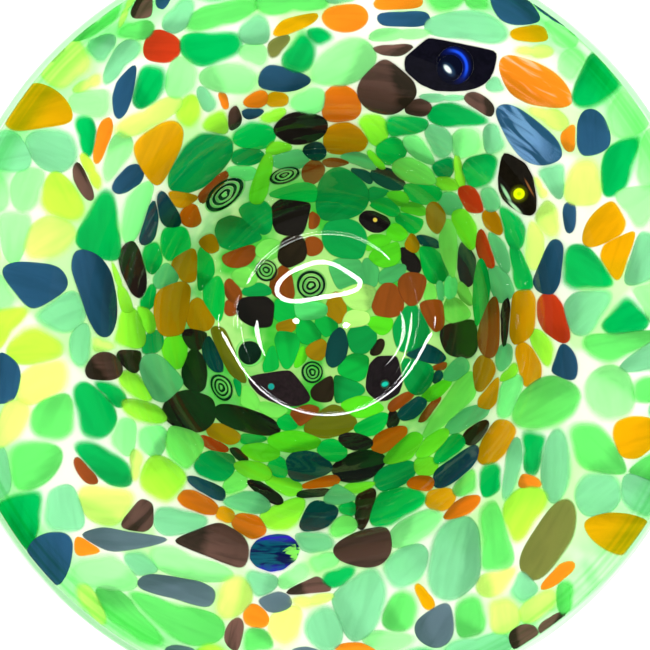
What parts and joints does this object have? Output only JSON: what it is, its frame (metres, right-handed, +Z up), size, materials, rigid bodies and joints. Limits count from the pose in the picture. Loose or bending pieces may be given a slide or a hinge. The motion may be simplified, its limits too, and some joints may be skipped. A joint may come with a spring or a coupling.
{
  "type": "art glass bowl",
  "caption": "Wide flared blown-glass bowl: a mosaic of coloured glass chips and patterned cane slices between clear layers, on a low foot disc.",
  "frame": {"origin": "centre of the foot's resting face, at table height", "axes": "+Z up along the bowl's axis of revolution; -Y is the side nearest the viewer, +X to the viewer's right"},
  "size_m": [0.3049, 0.305, 0.095],
  "materials": {
    "casing": "clear, fire-polished",
    "lining": "clear, fire-polished",
    "foot_disc": "clear, with a ground and polished hollow",
    "emerald_chips": "coloured glass, sealed under clear glass",
    "deep_green_chips": "coloured glass, sealed under clear glass",
    "grass_green_chips": "coloured glass, sealed under clear glass",
    "lime_chips": "coloured glass, sealed under clear glass",
    "yellow_green_chips": "coloured glass, sealed under clear glass",
    "mint_chips": "coloured glass, sealed under clear glass",
    "sea_green_chips": "coloured glass, sealed under clear glass",
    "olive_chips": "coloured glass, sealed under clear glass",
    "ochre_chips": "coloured glass, sealed under clear glass",
    "amber_chips": "coloured glass, sealed under clear glass",
    "orange_chips": "coloured glass, sealed under clear glass",
    "red_chips": "coloured glass, sealed under clear glass",
    "rust_chips": "coloured glass, sealed under clear glass",
    "brown_chips": "coloured glass, sealed under clear glass",
    "black_chips": "coloured glass, sealed under clear glass",
    "navy_chips": "coloured glass, sealed under clear glass",
    "petrol_chips": "coloured glass, sealed under clear glass",
    "slate_chips": "coloured glass, sealed under clear glass",
    "murrina_dark": "coloured glass, sealed under clear glass",
    "murrina_green": "coloured glass, sealed under clear glass",
    "lens_dark": "coloured glass, sealed under clear glass",
    "lens_ring": "coloured glass, sealed under clear glass",
    "blue_eye_slice": "coloured glass, sealed under clear glass",
    "blue_eye_crescent": "coloured glass, sealed under clear glass",
    "blue_eye_core": "coloured glass, sealed under clear glass",
    "yellow_eye_slice": "coloured glass, sealed under clear glass",
    "yellow_eye_core": "coloured glass, sealed under clear glass",
    "turquoise_eye_slice": "coloured glass, sealed under clear glass",
    "turquoise_eye_core": "coloured glass, sealed under clear glass",
    "small_eye_slice": "coloured glass, sealed under clear glass",
    "small_eye_core": "coloured glass, sealed under clear glass",
    "gold_eye_slice": "coloured glass, sealed under clear glass",
    "gold_eye_core": "coloured glass, sealed under clear glass",
    "cobalt_slice": "coloured glass, sealed under clear glass",
    "cobalt_streak": "coloured glass, sealed under clear glass"
  },
  "bodies": {
    "root": {"casing": "casing", "lining": "lining", "foot_disc": "foot_disc", "emerald_chips": "emerald_chips", "deep_green_chips": "deep_green_chips", "grass_green_chips": "grass_green_chips", "lime_chips": "lime_chips", "yellow_green_chips": "yellow_green_chips", "mint_chips": "mint_chips", "sea_green_chips": "sea_green_chips", "olive_chips": "olive_chips", "ochre_chips": "ochre_chips", "amber_chips": "amber_chips", "orange_chips": "orange_chips", "red_chips": "red_chips", "rust_chips": "rust_chips", "brown_chips": "brown_chips", "black_chips": "black_chips", "navy_chips": "navy_chips", "petrol_chips": "petrol_chips", "slate_chips": "slate_chips", "ring_murrina_1_dark": "murrina_dark", "ring_murrina_1_green": "murrina_green", "ring_murrina_2_dark": "murrina_dark", "ring_murrina_2_green": "murrina_green", "ring_murrina_3_dark": "murrina_dark", "ring_murrina_3_green": "murrina_green", "ring_murrina_4_dark": "murrina_dark", "ring_murrina_4_green": "murrina_green", "ring_murrina_5_dark": "murrina_dark", "ring_murrina_5_green": "murrina_green", "ring_murrina_6_dark": "murrina_dark", "ring_murrina_6_green": "murrina_green", "lens_murrina_dark": "lens_dark", "lens_murrina_ring": "lens_ring", "blue_eye_slice": "blue_eye_slice", "blue_eye_crescent": "blue_eye_crescent", "blue_eye_core": "blue_eye_core", "yellow_eye_slice": "yellow_eye_slice", "yellow_eye_core": "yellow_eye_core", "turquoise_eye_slice": "turquoise_eye_slice", "turquoise_eye_core": "turquoise_eye_core", "small_eye_slice": "small_eye_slice", "small_eye_core": "small_eye_core", "gold_eye_slice": "gold_eye_slice", "gold_eye_core": "gold_eye_core", "cobalt_slice": "cobalt_slice", "cobalt_streak": "cobalt_streak"}
  },
  "joints": []
}
